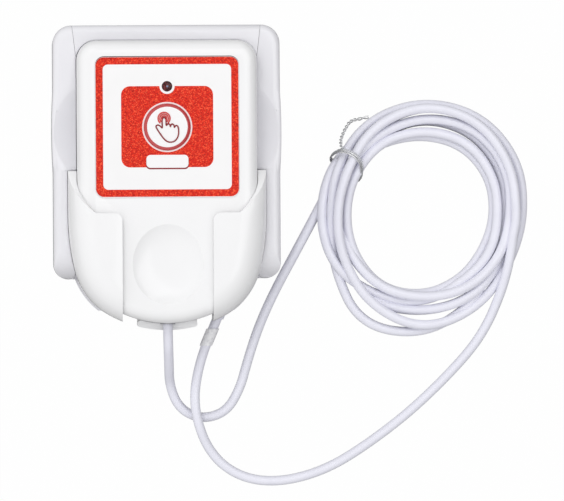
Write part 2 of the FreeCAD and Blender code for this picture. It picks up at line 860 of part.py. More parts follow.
def wire_tie():
    """The tie's turns round the coil as one band, and its twisted tail."""
    gap = clearance
    band = tie_block(tie_in - gap - tie_wire, tie_out + gap + tie_wire, tie_long / 2, 0, coil_height)
    band = band.cut(tie_block(tie_in - gap, tie_out + gap, tie_long, tie_wire, coil_height - tie_wire))
    points = [Vector(*p) for p in tie_tail]
    for a, b in zip(points, points[1:]):
        band = band.fuse(Part.makeCylinder(tie_wire / 2, (b - a).Length, a, b - a))
    for p in points[1:]:
        band = band.fuse(Part.makeSphere(tie_wire / 2, p))
    return band.removeSplitter()


def all_parts():
    return {
        "wall_plate": wall_plate(),
        "base_housing": base_housing(),
        "wing_left": wing(-1),
        "wing_right": wing(1),
        "holster": holster(),
        "transmitter_board": unit_board(),
        "radio_module": radio_module(),
        "cell_holder": cell_holder(),
        "coin_cell": coin_cell(),
        "antenna": antenna(),
        "base_screws": screws(unit_screws_at(), clearance, unit_screw_length),
        "base_cord_gland": cord_gland(),
        "cord_sleeve": cord_sleeve(),
        "handset_front": handset_front(),
        "handset_rear": handset_rear(),
        "label_film": label_film(),
        "call_button": call_button(),
        "switch_plunger": switch_plunger(),
        "switch_body": switch_body(),
        "handset_board": handset_board(),
        "status_led": status_led(),
        "light_pipe": light_pipe(),
        "handset_screws": screws(hand_screws_at(), hand_z0 + hand_wall, hand_screw_length),
        "cord_grommet": cord_grommet(),
        "handset_cord": cord_tube("handset_cord", hand_route),
        "cord_coil": cord_coil(),
        "base_cord": cord_tube("base_cord", base_route),
        "wire_tie": wire_tie(),
    }


def main():
    os.makedirs("parts", exist_ok=True)
    for name, shape in all_parts().items():
        shape.exportStep(f"parts/{name}.step")
        print(f"{name:18s} solids {len(shape.Solids)} volume {shape.Volume:10.1f} valid {shape.isValid()}")


main()
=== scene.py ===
import json
import math

import bmesh
import bpy
from mathutils import Matrix, Vector
from mathutils.bvhtree import BVHTree

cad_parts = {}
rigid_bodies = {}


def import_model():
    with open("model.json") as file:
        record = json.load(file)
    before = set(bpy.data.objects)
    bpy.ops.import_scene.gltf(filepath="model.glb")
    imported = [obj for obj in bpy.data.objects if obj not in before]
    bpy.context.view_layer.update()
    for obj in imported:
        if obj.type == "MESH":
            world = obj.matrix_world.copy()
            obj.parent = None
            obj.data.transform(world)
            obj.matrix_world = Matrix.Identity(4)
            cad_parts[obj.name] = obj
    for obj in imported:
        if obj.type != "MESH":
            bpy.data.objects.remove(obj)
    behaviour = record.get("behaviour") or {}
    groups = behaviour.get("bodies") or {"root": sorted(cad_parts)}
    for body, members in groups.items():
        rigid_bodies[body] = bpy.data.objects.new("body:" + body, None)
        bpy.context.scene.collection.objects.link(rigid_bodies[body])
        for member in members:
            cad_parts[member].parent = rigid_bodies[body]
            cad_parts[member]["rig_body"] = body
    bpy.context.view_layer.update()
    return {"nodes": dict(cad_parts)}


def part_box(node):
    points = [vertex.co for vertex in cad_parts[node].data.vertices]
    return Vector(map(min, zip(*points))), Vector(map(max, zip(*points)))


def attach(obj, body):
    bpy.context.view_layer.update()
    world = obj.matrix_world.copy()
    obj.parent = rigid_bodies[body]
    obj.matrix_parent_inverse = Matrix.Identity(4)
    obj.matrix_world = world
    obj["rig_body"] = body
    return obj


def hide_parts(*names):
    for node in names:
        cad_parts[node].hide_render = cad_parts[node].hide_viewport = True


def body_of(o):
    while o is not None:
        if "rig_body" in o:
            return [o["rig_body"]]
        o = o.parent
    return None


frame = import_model()

MM = 0.001

# Camera, in metres: high over the table, a little to one side, aimed at the middle of the view
view_middle = Vector((0.04650, -0.03939, 0.0))
camera_side = -0.118
camera_height = 3.0
camera_turn = math.radians(-0.36)
camera_lens = 478.7

# Light: where the sky is brightest and how it falls off; the floor's tone, glow, half size and height
sky_pole = (-0.32, 0.0, 1.0)
sky_span = (-0.35, 0.55)
sky_level = (0.22, 0.99)
floor_tone = 0.3
floor_glow = 0.99
floor_half = 3.0
floor_z = -0.0002

# Lamps: place, target and size in metres, power in watts
key_lamp = ((-0.45, 0.85, 1.5), (0.05, -0.03, 0), 0.6, 4.6)
window_lamp = ((0.72, 0.44, 1.5), (0.0, -0.04, 0.03), 1.5, 8.5)

# Heights of the hand unit's label, front and button, in millimetres, from the solids
film_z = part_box("label_film")[1].z / MM
front_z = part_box("handset_front")[1].z / MM
button_low, button_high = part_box("call_button")
button_top = button_high.z / MM
button_y = (button_low.y + button_high.y) / 2 / MM

# The wings beside the holster, in millimetres: inner face, end of its rounding, flat top, joint's start
wing_in_x = 39.3
wing_round_x = 41.4
wing_top_x = 41.95
wing_joint_y = -7.0

# Reshaping that joint, in millimetres: reach below its start, greatest depth, fade at the foot
wing_joint_below = 5.0
wing_joint_deep = 2.45
wing_foot_fade = 5.0

# How far above the foot that fade starts, as a share of its length
wing_foot_start = 0.6

# The finger recess in a wing, in millimetres: its upper end, and the heights it is reshaped between
recess_end_y = 28
recess_low = 12.0
recess_high = 26.0

# The thumb dish in the hand unit's front: middle, half sizes and depth, in millimetres
dish_y = -44.6
dish_half = (14.0, 15.8)
dish_depth = 2.4

# The label's printed fields, and the painted shade along its top edge and under the tag, in millimetres
print_thick = 0.03
ring_half = (28.25, 27.6)
ring_mid_y = 9.78
ring_round = 3.2
ring_in_round = 2.0
ring_wide = 2.85
# Painted shade along the film's top edge: its inner and outer offset from the border
shade_line_offsets = (0.14, 0.42)
panel_half = (18.2, 16.05)
panel_mid_y = 9.85
panel_round = 3.5
light_y = 25.8
light_hole_r = 2.1
light_ring_r = 3.0
button_line_in = 9.32
button_line_out = 9.92
tag_half = (8.3, 2.55)
tag_mid_y = -3.85
tag_round = 1.6
# The tag's dark red line is shifted down so that it shows only below and beside the tag, as its painted
# shadow: the shift, and its width beyond the tag's sides
tag_shadow_drop = 0.58
tag_shadow_wide = 0.16

# The button's cap, as radius and height below its top
cap_profile = [
    (0.0, 0.02), (3.0, 0.01), (6.0, 0.0), (7.5, 0.01), (8.0, 0.03), (8.2, 0.1), (8.5, 0.29),
    (8.8, 0.5), (9.08, 0.74), (9.22, 0.96), (9.27, 1.25), (9.27, 3.0), (10.2, 3.0), (10.2, 4.1),
    (0.0, 4.1),
]
disc_r = 8.08

# The touch sign on the button, in millimetres from its centre
sign_line = 0.29
sign_hand = [
    (-4.6, 0.3), (-3.9, 0.9), (-2.9, 0.5), (-1.9, -0.7), (-2.05, 1.2), (-2.05, 3.2), (-1.3, 3.95),
    (-0.5, 3.2), (-0.5, 1.0), (-0.4, 0.5), (0.0, 1.1), (0.6, 1.3), (1.1, 0.8), (1.2, -0.1),
    (1.3, 0.7), (1.95, 1.3), (2.6, 0.8), (2.8, -0.4), (3.0, 0.3), (3.7, 0.7), (4.3, 0.0),
    (4.5, -1.2), (4.45, -2.8), (4.0, -4.4), (2.9, -5.7), (1.1, -6.15), (-0.5, -5.6), (-1.9, -4.1),
    (-3.1, -2.3), (-4.2, -0.6),
]
sign_rings = (1.0, 1.7, 2.4)
sign_ring_at = (-1.28, 3.4)
sign_ring_open = 38.0

# The cord: 3.8 mm across, from the hand unit, through the coil, back to the wall unit
cord_dia = 0.0038
coil_centre = (102.95, -25.8)
coil_turn = -0.6

# Leaves the hand unit, dips to the table and runs up to the coil, in millimetres
cord_start = [
    (0, -62.5, 23.5), (0.1, -74, 23.5), (0.6, -84, 14.6), (1.0, -93, 3.6), (4.8, -102.3, 1.9),
    (13.6, -106.7, 1.9), (23.5, -104, 1.9), (29.2, -94.8, 1.9), (32.3, -83.5, 1.9),
    (36.7, -70.1, 1.9), (43.0, -56.2, 1.9), (51.4, -40.9, 1.9),
]

# The coil's passes, clockwise from its left side in steps of 30 degrees: radius and height
coil_steps = (180, 150, 120, 90, 60, 30, 0, -30, -60, -90, -120, -150)
coil_passes = [
    [(43.1, 1.9), (38.4, 2.8), (33.9, 1.9), (32.7, 1.9), (32.6, 1.9), (31.1, 1.9),
     (28.9, 1.9), (28.1, 1.9), (29.9, 1.9), (32.3, 1.9), (33.7, 1.9), (32.2, 3.0)],
    [(31.5, 4.6), (32.5, 6.1), (34.4, 5.3), (34.5, 5.3), (34.9, 5.3), (32.6, 5.3),
     (30.2, 5.4), (31.1, 5.3), (31.1, 4.8), (35.2, 1.9), (37.4, 1.9), (41.8, 5.2)],
    [(42.0, 5.3), (42.4, 2.8), (40.7, 1.9), (44.9, 1.9), (45.1, 1.9), (40.7, 1.9),
     (37.1, 1.9), (36.6, 1.9), (38.5, 5.0), (38.9, 2.4), (40.8, 1.9), (37.7, 1.9)],
    [(37.4, 1.9), (36.5, 6.1), (37.7, 5.3), (39.9, 5.3), (41.2, 5.2), (39.1, 5.2),
     (35.4, 5.3), (35.2, 6.0), (34.5, 6.5), (33.2, 5.3), (33.9, 5.3), (33.7, 4.5)],
    [(33.9, 1.9), (34.5, 2.8), (37.2, 1.9), (39.5, 1.9), (39.1, 1.9), (36.8, 1.9),
     (33.3, 1.9), (33.0, 1.9), (41.0, 1.9), (48.0, 1.9), (50.6, 1.9), (41.4, 1.9)],
    [(37.2, 5.3), (40.4, 6.1), (44.3, 2.2), (46.1, 5.2), (46.4, 5.2), (44.4, 1.9),
     (40.8, 1.9), (40.0, 1.9), (43.3, 1.9), (46.0, 5.3), (41.9, 5.4), (37.1, 6.5)],
    [(35.2, 8.7), (36.0, 9.6), (41.4, 7.6), (44.8, 8.6), (44.3, 8.7), (40.6, 8.6),
     (37.4, 8.7)],
]

# Leaves the coil over its outer turns and runs back to the wall unit, in millimetres
cord_end = [
    (138.7, -34.2, 7.0), (138.0, -40.2, 6.3), (136.5, -47.4, 5.8), (134.7, -54.2, 4.0),
    (132.6, -60.1, 2.6), (128.9, -68.7, 1.9), (122.6, -78.7, 1.9), (110.6, -91.7, 1.9),
    (96.6, -104.7, 1.9), (81.5, -116.1, 1.9), (67, -125.3, 1.9), (53.5, -130.3, 1.9),
    (41, -131.9, 1.9), (30.3, -130, 1.9), (21.8, -124.9, 1.9), (16.1, -117.8, 3.4),
    (12.8, -109.9, 6.6), (11.1, -102, 6.9), (11.1, -94.5, 6.2), (12.7, -86, 5.8),
    (15.2, -78, 5.8), (18.7, -69.8, 6.0), (22.7, -60.4, 6.0),
]

# The wire tie, in millimetres: wire, centre, direction, each turn's shift and growth, the turn itself
tie_wire = 0.25
tie_centre = (72.4, -4.9, 6.0)
tie_along = (0.55, 0.83, 0.0)
tie_turns = ((-0.55, 0.0), (-0.15, 0.25), (0.25, 0.1), (0.75, 0.3))
tie_loop = [
    (65.9, -2.9, 1.8), (66.6, -1.3, 6.8), (69.2, 0.3, 10.6), (72.6, -0.2, 11.6),
    (76.0, -2.1, 11.4), (78.2, -5.5, 9.6), (78.0, -10.1, 5.2), (77.2, -12.1, 0.9),
    (73.2, -9.3, 0.4), (68.6, -5.7, 0.4),
]

# Its tail: the twist's radius in millimetres, its turn at each point in radians, and its path
tie_twist_r = 0.45
tie_twist_step = 0.5
tie_tail = [
    (70.6, -0.6, 10.8), (70.3, 1.2, 9.4), (69.8, 3.8, 7.0), (70.6, 6.4, 5.0), (72.2, 9.6, 3.4),
    (74.2, 12.4, 2.6), (77.6, 13.0, 2.6), (81.4, 13.8, 3.4),
]


def link(obj):
    bpy.context.scene.collection.objects.link(obj)
    return obj


def place(obj, body, slot, material, *replaced):
    """Rides on a body, takes a material, and stands for CAD nodes where any are named. The slot is not
    used.
    """
    obj.data.materials.clear()
    obj.data.materials.append(material)
    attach(obj, body)
    if replaced:
        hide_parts(*replaced)
    return obj


def smooth(obj, angle=35.0):
    obj.data.shade_smooth()
    obj.data.set_sharp_from_angle(angle=math.radians(angle))
    return obj


# Outlines and flat fields


def rounded_outline(half_x, half_y, mid_y, radius, steps=10):
    """The points of a rounded rectangle about the y axis, in millimetres."""
    points = []
    for sx, sy, start in ((1, 1, 0), (-1, 1, 90), (-1, -1, 180), (1, -1, 270)):
        cx, cy = sx * (half_x - radius), mid_y + sy * (half_y - radius)
        for i in range(steps + 1):
            turn = math.radians(start + 90 * i / steps)
            points.append((cx + radius * math.cos(turn), cy + radius * math.sin(turn)))
    return points


def circle_outline(x, y, radius, steps=72):
    turns = [2 * math.pi * i / steps for i in range(steps)]
    return [(x + radius * math.cos(t), y + radius * math.sin(t)) for t in turns]


def flat_field(name, outlines, low, thick):
    """A thin plate bounded by outlines, where each one inside another is a hole, in millimetres."""
    curve = bpy.data.curves.new(name, "CURVE")
    curve.dimensions = "2D"
    curve.fill_mode = "BOTH"
    curve.extrude = thick / 2 * MM
    for outline in outlines:
        spline = curve.splines.new("POLY")
        spline.points.add(len(outline) - 1)
        for point, (x, y) in zip(spline.points, outline):
            point.co = (x * MM, y * MM, 0, 1)
        spline.use_cyclic_u = True
    draft = link(bpy.data.objects.new(name + "_draft", curve))
    draft.location.z = (low + thick / 2) * MM
    bpy.context.view_layer.update()
    mesh = bpy.data.meshes.new_from_object(draft)
    mesh.transform(draft.matrix_world)
    bpy.data.objects.remove(draft)
    mesh.name = name
    return link(bpy.data.objects.new(name, mesh))


def lathe(name, x, y, profile, steps=96):
    """A closed round piece about an upright axis, from pairs of radius and height."""
    bm = bmesh.new()
    rings = []
    for radius, z in profile:
        if radius < 1e-6:
            rings.append([bm.verts.new((x * MM, y * MM, z * MM))])
            continue
        turns = [2 * math.pi * i / steps for i in range(steps)]
        rings.append([
            bm.verts.new(((x + radius * math.cos(t)) * MM, (y + radius * math.sin(t)) * MM, z * MM))
            for t in turns
        ])
    for a, b in zip(rings, rings[1:]):
        for i in range(steps):
            j = (i + 1) % steps
            if len(a) == 1:
                bm.faces.new((a[0], b[i], b[j]))
            elif len(b) == 1:
                bm.faces.new((a[i], b[0], a[j]))
            else:
                bm.faces.new((a[i], b[i], b[j], a[j]))
    bmesh.ops.recalc_face_normals(bm, faces=bm.faces)
    mesh = bpy.data.meshes.new(name)
    bm.to_mesh(mesh)
    bm.free()
    return link(bpy.data.objects.new(name, mesh))


def nurbs_tube(name, points, radius, closed=False, resolution=8, bevel=6):
    """A round tube on one smooth NURBS line with these control points, in millimetres."""
    curve = bpy.data.curves.new(name, "CURVE")
    curve.dimensions = "3D"
    spline = curve.splines.new("NURBS")
    spline.points.add(len(points) - 1)
    for point, place_mm in zip(spline.points, points):
        point.co = (*[c * MM for c in place_mm], 1.0)
    spline.order_u = 3
    spline.use_endpoint_u = not closed
    spline.use_cyclic_u = closed
    curve.resolution_u = resolution
    curve.bevel_depth = radius * MM
    curve.bevel_resolution = bevel
    curve.use_fill_caps = not closed
    return link(bpy.data.objects.new(name, curve))


# Materials


class Shader:
    """A principled material under construction: short calls for the nodes used here."""

    def __init__(self, name):
        self.mat = bpy.data.materials.new(name)
        self.mat.use_nodes = True
        self.nodes = self.mat.node_tree.nodes
        self.links = self.mat.node_tree.links
        self.main = self.nodes["Principled BSDF"]
        self.where = self.nodes.new("ShaderNodeTexCoord").outputs["Object"]

    def set(self, **values):
        for name, value in values.items():
            self.main.inputs[name.replace("_", " ")].default_value = value
        return self

    def noise(self, scale, detail=2.0, rough=0.5):
        node = self.nodes.new("ShaderNodeTexNoise")
        node.inputs["Scale"].default_value = scale
        node.inputs["Detail"].default_value = detail
        node.inputs["Roughness"].default_value = rough
        self.links.new(self.where, node.inputs["Vector"])
        return node.outputs["Fac"]

    def cell_value(self, scale):
        """One random number for each small cell."""
        parts = self.nodes.new("ShaderNodeSeparateColor")
        node = self.nodes.new("ShaderNodeTexVoronoi")
        node.inputs["Scale"].default_value = scale
        self.links.new(self.where, node.inputs["Vector"])
        self.links.new(node.outputs["Color"], parts.inputs["Color"])
        return parts.outputs["Red"]

    def ramp(self, factor, stops):
        node = self.nodes.new("ShaderNodeValToRGB")
        while len(node.color_ramp.elements) < len(stops):
            node.color_ramp.elements.new(0.5)
        for element, (at, colour) in zip(node.color_ramp.elements, stops):
            element.position = at
            element.color = (*colour, 1)
        self.links.new(factor, node.inputs["Fac"])
        return node.outputs["Color"]

    def spread(self, factor, low, high):
        node = self.nodes.new("ShaderNodeMapRange")
        node.inputs["To Min"].default_value = low
        node.inputs["To Max"].default_value = high
        self.links.new(factor, node.inputs["Value"])
        return node.outputs["Result"]

    def bump(self, height, distance, strength, before=None):
        node = self.nodes.new("ShaderNodeBump")
        node.inputs["Distance"].default_value = distance
        node.inputs["Strength"].default_value = strength
        self.links.new(height, node.inputs["Height"])
        if before is not None:
            self.links.new(before, node.inputs["Normal"])
        return node.outputs["Normal"]

    def join(self, output, name):
        self.links.new(output, self.main.inputs[name])
        return self


def tinted(colour, share):
    return tuple(c * share for c in colour)


def moulded_gloss(name, colour, rough=0.16, waviness=0.05, ior=1.5):
    """Glossy moulded plastic: faint cloudiness, uneven gloss, a shallow flow waviness."""
    s = Shader(name)
    s.join(s.ramp(s.noise(45.0, 3.0), [(0.3, tinted(colour, 0.985)), (0.7, colour)]), "Base Color")
    s.join(s.spread(s.noise(160.0, 4.0), rough * 0.8, rough * 1.25), "Roughness")
    wave = s.bump(s.noise(70.0, 1.0), 0.0004, waviness)
    s.join(s.bump(s.noise(2600.0, 2.0), 0.00002, 0.25, wave), "Normal")
    return s.set(IOR=ior).mat


def film_white():
    """The label's satin white film with a fine sand texture."""
    s = Shader("film_white")
    stops = [(0.3, (0.865, 0.86, 0.865)), (0.7, (0.88, 0.875, 0.88))]
    s.join(s.ramp(s.noise(120.0, 2.0), stops), "Base Color")
    s.join(s.spread(s.noise(900.0, 2.0), 0.28, 0.42), "Roughness")
    s.join(s.bump(s.noise(3200.0, 2.0), 0.00003, 0.3), "Normal")
    return s.mat


def glitter_red():
    """Printed red with fine flakes: each cell has its own tone and tilt."""
    s = Shader("glitter_red")
    flakes = s.cell_value(3100.0)
    stops = [
        (0.0, (0.37, 0.005, 0.002)), (0.3, (0.61, 0.011, 0.003)), (0.75, (0.8, 0.026, 0.006)),
        (1.0, (0.97, 0.13, 0.05)),
    ]
    s.join(s.ramp(flakes, stops), "Base Color")
    s.join(s.spread(s.cell_value(2100.0), 0.3, 0.6), "Roughness")
    s.join(s.bump(flakes, 0.00006, 0.4), "Normal")
    return s.set(Specular_IOR_Level=0.2).mat


def printed(name, colour, rough=0.35, gloss=0.3):
    """Flat printed ink with a slight unevenness."""
    s = Shader(name)
    s.join(s.ramp(s.noise(1500.0, 2.0), [(0.3, tinted(colour, 0.97)), (0.7, colour)]), "Base Color")
    s.join(s.spread(s.noise(700.0), rough * 0.85, rough * 1.15), "Roughness")
    return s.set(Specular_IOR_Level=gloss).mat


def cord_pvc():
    """Satin lavender-white jacket with small moulding marks."""
    s = Shader("cord_pvc")
    stops = [(0.25, (0.775, 0.775, 0.86)), (0.6, (0.80, 0.80, 0.885)), (0.9, (0.815, 0.815, 0.89))]
    s.join(s.ramp(s.noise(140.0, 3.0), stops), "Base Color")
    s.join(s.spread(s.noise(420.0, 3.0), 0.3, 0.46), "Roughness")
    fine = s.bump(s.noise(900.0, 3.0), 0.00006, 0.3)
    s.join(s.bump(s.noise(130.0, 1.0), 0.0003, 0.12, fine), "Normal")
    return s.set(IOR=1.47).mat


def metal(name, colour, rough):
    s = Shader(name)
    s.join(s.ramp(s.noise(600.0, 3.0), [(0.3, tinted(colour, 0.85)), (0.7, colour)]), "Base Color")
    s.join(s.spread(s.noise(1200.0), rough * 0.7, rough * 1.3), "Roughness")
    return s.set(Metallic=1.0).mat


def plastic(name, colour, rough=0.45):
    s = Shader(name)
    s.join(s.ramp(s.noise(300.0, 3.0), [(0.3, tinted(colour, 0.85)), (0.7, colour)]), "Base Color")
    s.join(s.spread(s.noise(900.0), rough * 0.8, rough * 1.2), "Roughness")
    s.join(s.bump(s.noise(2500.0), 0.00004, 0.3), "Normal")
    return s.mat


def circuit_board():
    """Green solder mask with a faint weave of tracks."""
    s = Shader("board_green")
    tracks = s.nodes.new("ShaderNodeTexWave")
    tracks.inputs["Scale"].default_value = 260.0
    tracks.inputs["Distortion"].default_value = 2.0
    s.links.new(s.where, tracks.inputs["Vector"])
    stops = [(0.4, (0.015, 0.14, 0.05)), (0.6, (0.03, 0.22, 0.09))]
    s.join(s.ramp(tracks.outputs["Fac"], stops), "Base Color")
    s.join(s.spread(s.noise(500.0), 0.3, 0.45), "Roughness")
    return s.mat


def clear_plastic(name, colour, rough, through):
    """Clear or milky plastic: cloudy tone, some light passing through."""
    s = Shader(name)
    s.join(s.ramp(s.noise(700.0, 4.0, 0.7), [(0.35, tinted(colour, 0.8)), (0.65, colour)]), "Base Color")
    s.join(s.spread(s.noise(900.0, 3.0), rough * 0.6, rough * 1.5), "Roughness")
    s.join(s.bump(s.noise(1100.0, 3.0), 0.0001, 0.5), "Normal")
    s.set(Transmission_Weight=through, IOR=1.45)
    return s.mat


def sleeve_film():
    """Thin clear sleeve over the cord: the cord's tone, mottled where the film lies on it."""
    s = Shader("sleeve_film")
    stops = [(0.3, (0.48, 0.48, 0.5)), (0.42, (0.78, 0.78, 0.81)), (0.7, (0.95, 0.95, 0.96))]
    s.join(s.ramp(s.noise(620.0, 3.0, 0.6), stops), "Base Color")
    s.join(s.spread(s.noise(900.0, 3.0), 0.06, 0.2), "Roughness")
    s.join(s.bump(s.noise(700.0, 3.0), 0.0002, 0.6), "Normal")
    return s.set(IOR=1.5).mat


def window_lens():
    """Dark glossy lens with a red cast and cloudy depth."""
    s = Shader("window_dark")
    stops = [(0.35, (0.006, 0.002, 0.003)), (0.5, (0.05, 0.006, 0.008)), (0.7, (0.22, 0.035, 0.035))]
    s.join(s.ramp(s.noise(1300.0, 3.0, 0.6), stops), "Base Color")
    s.join(s.spread(s.noise(800.0), 0.06, 0.14), "Roughness")
    return s.set(IOR=1.33).mat


case_white = moulded_gloss("case_white", (0.87, 0.87, 0.878))
wall_white = moulded_gloss("wall_white", (0.80, 0.795, 0.83))
red_glitter = glitter_red()
red_plastic = moulded_gloss("red_plastic", (0.48, 0.01, 0.013), 0.1, ior=1.9)
# Dark red ink for the touch sign's lines, also used for the tag's painted shadow
red_print_and_shadow = printed("red_print_and_shadow", (0.25, 0.012, 0.018))
sign_red = printed("sign_red", (0.62, 0.05, 0.045))
# Near-black painted shade for the film's top edge, made as flat ink
painted_shade_dark = printed("painted_shade_dark", (0.035, 0.012, 0.014), gloss=0.1)
label_white = film_white()
print_white = printed("print_white", (0.9, 0.89, 0.9), 0.3)
pink_white = printed("pink_white", (0.93, 0.8, 0.81), 0.3)
cord_lavender = cord_pvc()
window_dark = window_lens()
# Blue-grey for the spot in the lens's middle: the LED die, lightened as a painted highlight
window_glint = printed("window_glint", (0.2, 0.23, 0.34), 0.2)
board_green = circuit_board()
dark_plastic = plastic("dark_plastic", (0.045, 0.045, 0.05))
grommet_grey = plastic("grommet_grey", (0.3, 0.3, 0.33))
steel = metal("steel", (0.62, 0.62, 0.63), 0.28)
silver = metal("silver_wire", (0.74, 0.74, 0.75), 0.22)
clear = clear_plastic("clear_plastic", (0.88, 0.89, 0.9), 0.2, 0.6)
wire_coat = clear_plastic("wire_coat", (0.9, 0.91, 0.92), 0.15, 0.7)

slot_material = {
    "case": case_white, "film": label_white, "red_cap": red_plastic, "clear": clear,
    "cord": cord_lavender, "tie": silver, "board": board_green, "dark_plastic": dark_plastic,
    "metal": steel,
}
node_material = {
    "cord_sleeve": sleeve_film(),
    "wall_plate": wall_white, "base_housing": wall_white, "wing_left": wall_white,
    "wing_right": wall_white, "cord_grommet": grommet_grey, "base_cord_gland": cord_lavender,
}
node_slot = {
    "wall_plate": "case", "base_housing": "case", "wing_left": "case", "wing_right": "case",
    "holster": "case", "handset_front": "case", "handset_rear": "case", "label_film": "film",
    "call_button": "red_cap", "light_pipe": "clear", "status_led": "clear",
    "cord_sleeve": "clear", "handset_cord": "cord", "cord_coil": "cord", "base_cord": "cord",
    "wire_tie": "tie", "transmitter_board": "board", "handset_board": "board",
    "cell_holder": "dark_plastic", "switch_body": "dark_plastic", "cord_grommet": "dark_plastic",
    "base_cord_gland": "dark_plastic", "switch_plunger": "dark_plastic",
    "radio_module": "metal", "coin_cell": "metal", "antenna": "metal", "base_screws": "metal",
    "handset_screws": "metal",
}


def dress_nodes():
    for node, obj in frame["nodes"].items():
        obj.data.materials.clear()
        obj.data.materials.append(node_material.get(node, slot_material[node_slot[node]]))


def tightened(bm, keep=0.2):
    """Makes the wing's lower inner rounding shallower than in the solid, for a finer joint."""
    tree = BVHTree.FromBMesh(bm)
    side = math.copysign(wing_top_x * MM, next(iter(bm.verts)).co.x)
    foot = min(v.co.y for v in bm.verts)
    moves = []
    for v in bm.verts:
        if abs(v.co.x) > wing_round_x * MM or v.co.y > wing_joint_y * MM:
            continue
        if abs(v.co.x) < wing_in_x * MM and v.co.y > (wing_joint_y - wing_joint_below) * MM:
            continue
        hit = tree.ray_cast(Vector((side, v.co.y, 0.05)), Vector((0, 0, -1)))[0]
        if hit is None or not 0 < hit.z - v.co.z < wing_joint_deep * MM:
            continue
        ends = min(max((v.co.y - foot) / MM / wing_foot_fade - wing_foot_start, 0.0), 1.0)
        moves.append((v, (hit.z - v.co.z) * (1 - keep) * ends))
    for v, rise in moves:
        v.co.z += rise


def shallowed(bm, ease=0.6):
    """Makes the finger recess in a wing shallower than in the solid, so that it takes more light."""
    for v in bm.verts:
        z = v.co.z / MM
        if wing_joint_y < v.co.y / MM < recess_end_y and recess_low < z < recess_high:
            t = (z - recess_low) / (recess_high - recess_low)
            v.co.z = (recess_low + (recess_high - recess_low) * (t + ease * t * (1 - t))) * MM


def dished(bm):
    """Gives the thumb dish a flatter middle and a steeper rim than in the solid, at the same depth."""
    reach = {}
    for v in bm.verts:
        depth = front_z - v.co.z / MM
        if not -0.001 < depth < dish_depth + 0.05:
            continue
        r = math.hypot(v.co.x / MM / dish_half[0], (v.co.y / MM - dish_y) / dish_half[1])
        reach[v] = r
        if r < 0.995 and depth > 0.001:
            v.co.z = (front_z - dish_depth * (1 - r ** 4)) * MM
    for e in bm.edges:
        if all(0.99 < reach.get(v, 0) < 1.01 for v in e.verts):
            e.smooth = False


def softened(node, width, material, angle=38.0):
    """The node's own shape with its sharp edges rounded, standing for the node."""
    body = body_of(frame["nodes"][node])[0]
    mesh = frame["nodes"][node].data.copy()
    bm = bmesh.new()
    bm.from_mesh(mesh)
    bmesh.ops.remove_doubles(bm, verts=bm.verts, dist=0.000002)
    bmesh.ops.dissolve_limit(
        bm, angle_limit=math.radians(0.3), verts=bm.verts, edges=bm.edges, use_dissolve_boundaries=False
    )
    if node.startswith("wing"):
        tightened(bm)
        shallowed(bm)
    if node == "handset_front":
        dished(bm)
    bm.to_mesh(mesh)
    bm.free()
    obj = link(bpy.data.objects.new(node + "_shell", mesh))
    mesh.shade_smooth()
    bevel = obj.modifiers.new("edges", "BEVEL")
    bevel.width = width * MM
    bevel.segments = 3
    bevel.limit_method = "ANGLE"
    bevel.angle_limit = math.radians(angle)
    bevel.harden_normals = True
    place(obj, body, "case", material, node)


def make_label():
    """The printed fields on the film: border, panel, window ring, button line and blank tag; and, as
    painted shade, a dark line along the film's top edge and a dark red line below the tag.
    """
    low = film_z
    ring = flat_field("label_border", [
        rounded_outline(*ring_half, ring_mid_y, ring_round),
        rounded_outline(ring_half[0] - ring_wide, ring_half[1] - ring_wide, ring_mid_y, ring_in_round),
    ], low, print_thick)
    place(ring, "unit", "red_cap", red_glitter)
    panel = flat_field("label_panel", [panel_outline(), circle_outline(0, button_y, button_line_in)],
                       low, print_thick)
    place(panel, "unit", "red_cap", red_glitter)
    window = flat_field("window_ring", [
        circle_outline(0, light_y, light_ring_r), circle_outline(0, light_y, light_hole_r),
    ], low, print_thick * 2)
    place(window, "unit", "film", print_white)
    line = flat_field("button_line", [
        circle_outline(0, button_y, button_line_out), circle_outline(0, button_y, button_line_in),
    ], low, print_thick * 2)
    place(line, "unit", "film", pink_white)
    # Painted shadow: a dark red line that shows only below and beside the blank tag
    tag_shadow_line = flat_field("tag_shadow_line", [
        rounded_outline(tag_half[0] + tag_shadow_wide, tag_half[1], tag_mid_y - tag_shadow_drop, tag_round),
    ], low, print_thick * 1.6)
    place(tag_shadow_line, "unit", "red_cap", red_print_and_shadow)
    # Painted shade: a dark line along the film's top edge, under the recess wall
    rim = flat_field("label_top_shade", [shade_line_outline()], low, print_thick)
    place(rim, "unit", "red_cap", painted_shade_dark)
    tag = flat_field("blank_tag", [
        rounded_outline(*tag_half, tag_mid_y, tag_round),
    ], low, print_thick * 2.4)
    place(tag, "unit", "film", print_white)


def shade_line_outline():
    """Painted shade: a dark line along the film's top edge, where the recess wall above shades it, which
    runs out in the corners.
    """
    steps = 10
    half_x, half_y = ring_half
    inner, outer = [], []
    for sx, start in ((1, 0), (-1, 90)):
        cx, cy = sx * (half_x - ring_round), ring_mid_y + half_y - ring_round
        for i in range(steps + 1):
            turn = math.radians(start + 90 * i / steps)
            share = math.sin(turn) ** 2
            far = shade_line_offsets[0] + (shade_line_offsets[1] - shade_line_offsets[0]) * share
            for points, off in ((inner, shade_line_offsets[0]), (outer, far)):
                radius = ring_round + off
                points.append((cx + radius * math.cos(turn), cy + radius * math.sin(turn)))
    return outer + inner[-2:0:-1]


